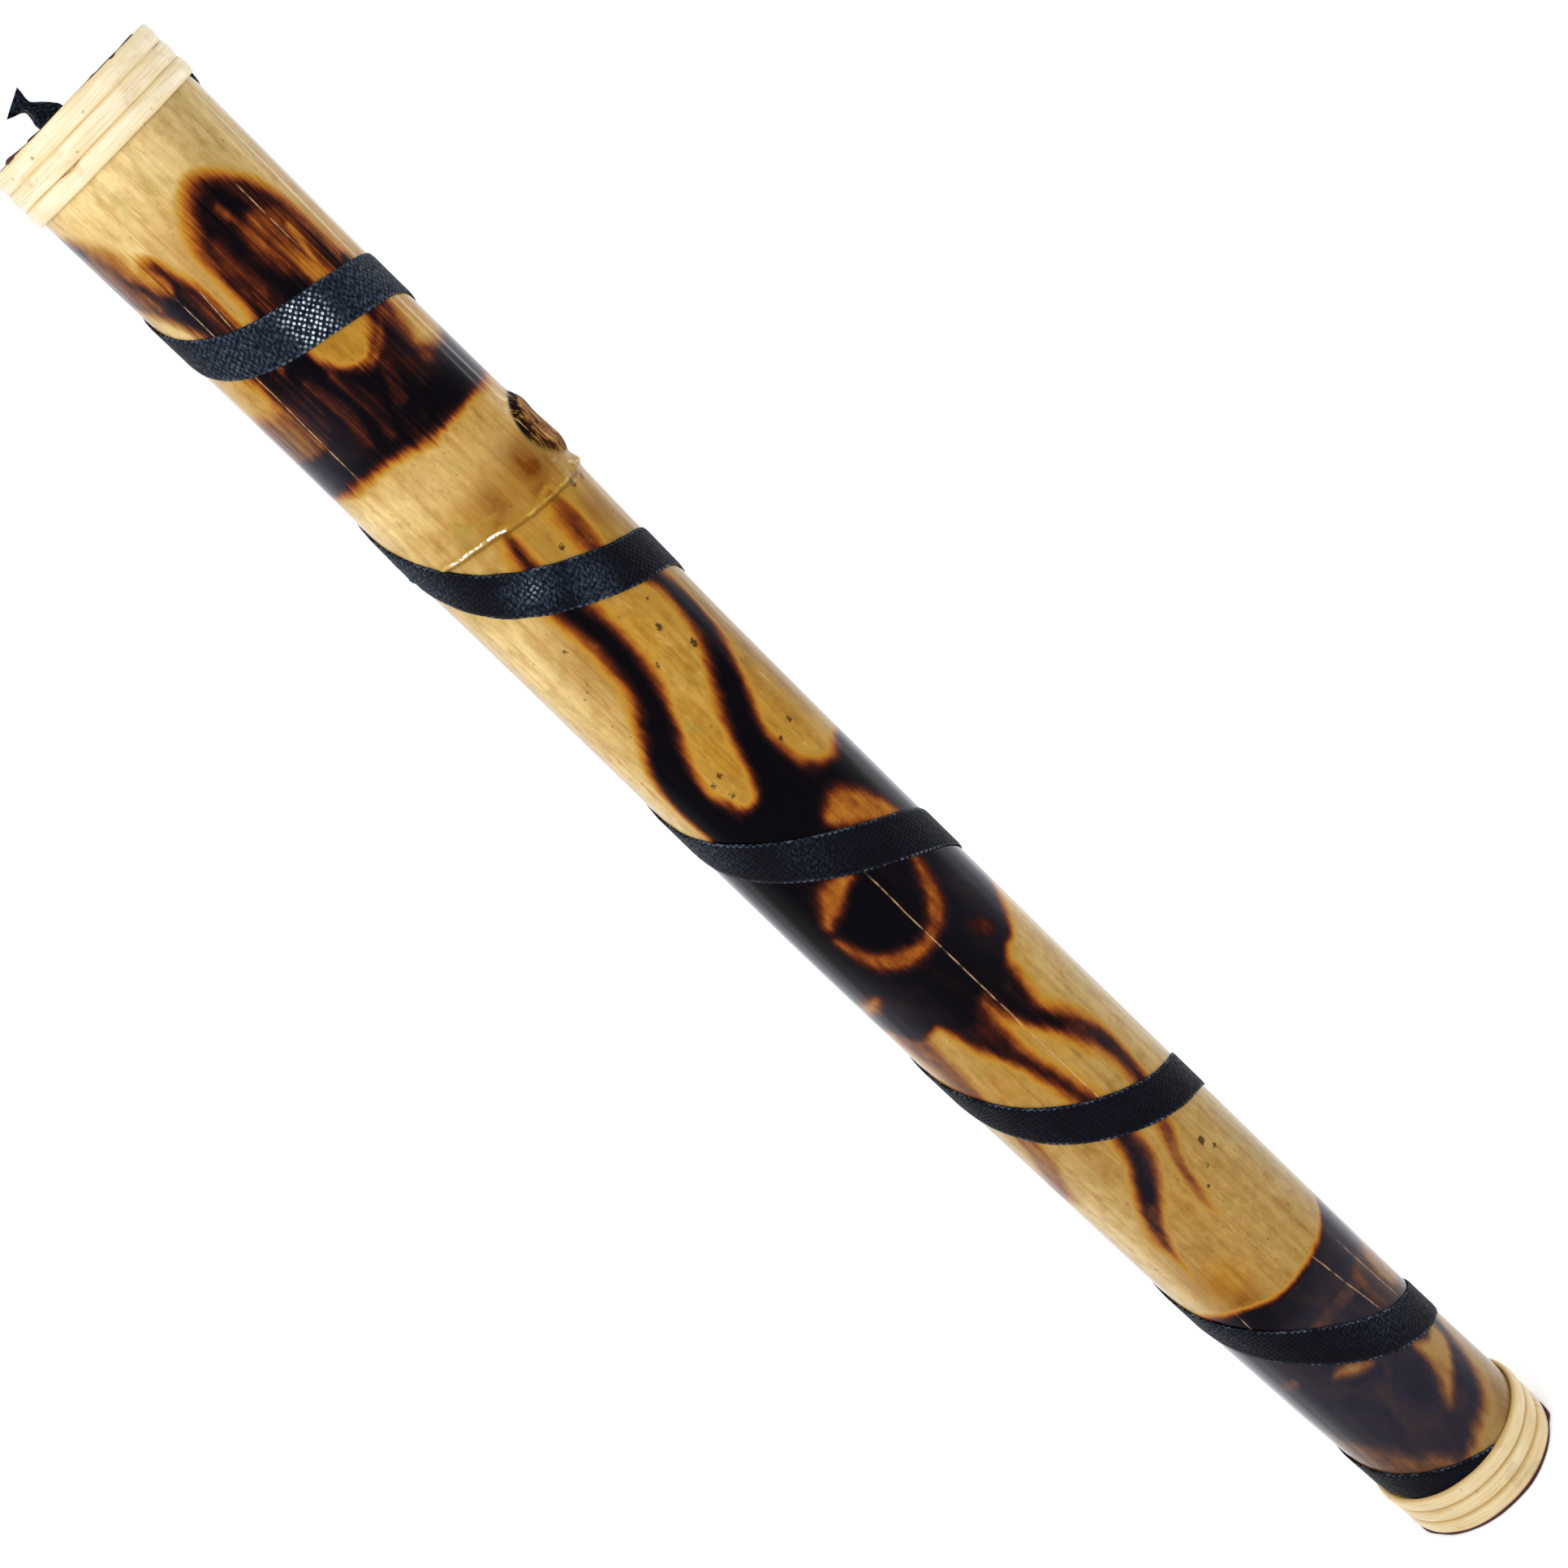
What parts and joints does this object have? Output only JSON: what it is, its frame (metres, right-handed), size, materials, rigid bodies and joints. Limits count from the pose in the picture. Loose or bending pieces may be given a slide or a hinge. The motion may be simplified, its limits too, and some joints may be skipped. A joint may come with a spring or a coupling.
{
  "type": "bamboo rainstick",
  "caption": "Hollow torched-bamboo tube with cross pins and loose pebbles inside, bound with rattan and a spiral woven tape; it sounds like rain when turned over.",
  "frame": {"origin": "centre of the underside of the base end disc", "axes": "+Z along the stick from the base to the end with the tape tail, -Y the side with the open flame loop of the burnt pattern"},
  "size_m": [0.0508, 0.0482, 0.5104],
  "materials": {
    "bamboo": "torched flame pattern under clear varnish",
    "rattan": "peeled split cane, satin varnish",
    "woven_tape": "black coarse woven tape",
    "leatherette": "matt black, dark maroon cut edge",
    "plug_wood": "plain sawn",
    "pin_bamboo": "plain split bamboo",
    "pebble": "small river pebbles"
  },
  "bodies": {
    "stick": {"base_end_disc": "leatherette", "base_plug": "plug_wood", "base_rattan_band_1": "rattan", "base_rattan_band_2": "rattan", "base_rattan_band_3": "rattan", "culm": "bamboo", "head_end_disc": "leatherette", "head_plug": "plug_wood", "head_rattan_band_1": "rattan", "head_rattan_band_2": "rattan", "head_rattan_band_3": "rattan", "pins_turn_1": "pin_bamboo", "pins_turn_2": "pin_bamboo", "pins_turn_3": "pin_bamboo", "pins_turn_4": "pin_bamboo", "pins_turn_5": "pin_bamboo", "spiral_strap": "woven_tape", "tape_tail": "woven_tape"},
    "rain_1": {"grains_1": "pebble"},
    "rain_2": {"grains_2": "pebble"},
    "rain_3": {"grains_3": "pebble"},
    "rain_4": {"grains_4": "pebble"},
    "rain_5": {"grains_5": "pebble"},
    "rain_6": {"grains_6": "pebble"}
  },
  "joints": [
    {"name": "rain_fall_1", "type": "slide", "parent": "stick", "child": "rain_1", "axis": [0, 0, 1], "range_m": [0, 0.44]},
    {"name": "rain_fall_2", "type": "slide", "parent": "stick", "child": "rain_2", "axis": [0, 0, 1], "range_m": [0, 0.44]},
    {"name": "rain_fall_3", "type": "slide", "parent": "stick", "child": "rain_3", "axis": [0, 0, 1], "range_m": [0, 0.44]},
    {"name": "rain_fall_4", "type": "slide", "parent": "stick", "child": "rain_4", "axis": [0, 0, 1], "range_m": [0, 0.44]},
    {"name": "rain_fall_5", "type": "slide", "parent": "stick", "child": "rain_5", "axis": [0, 0, 1], "range_m": [0, 0.44]},
    {"name": "rain_fall_6", "type": "slide", "parent": "stick", "child": "rain_6", "axis": [0, 0, 1], "range_m": [0, 0.44]}
  ]
}
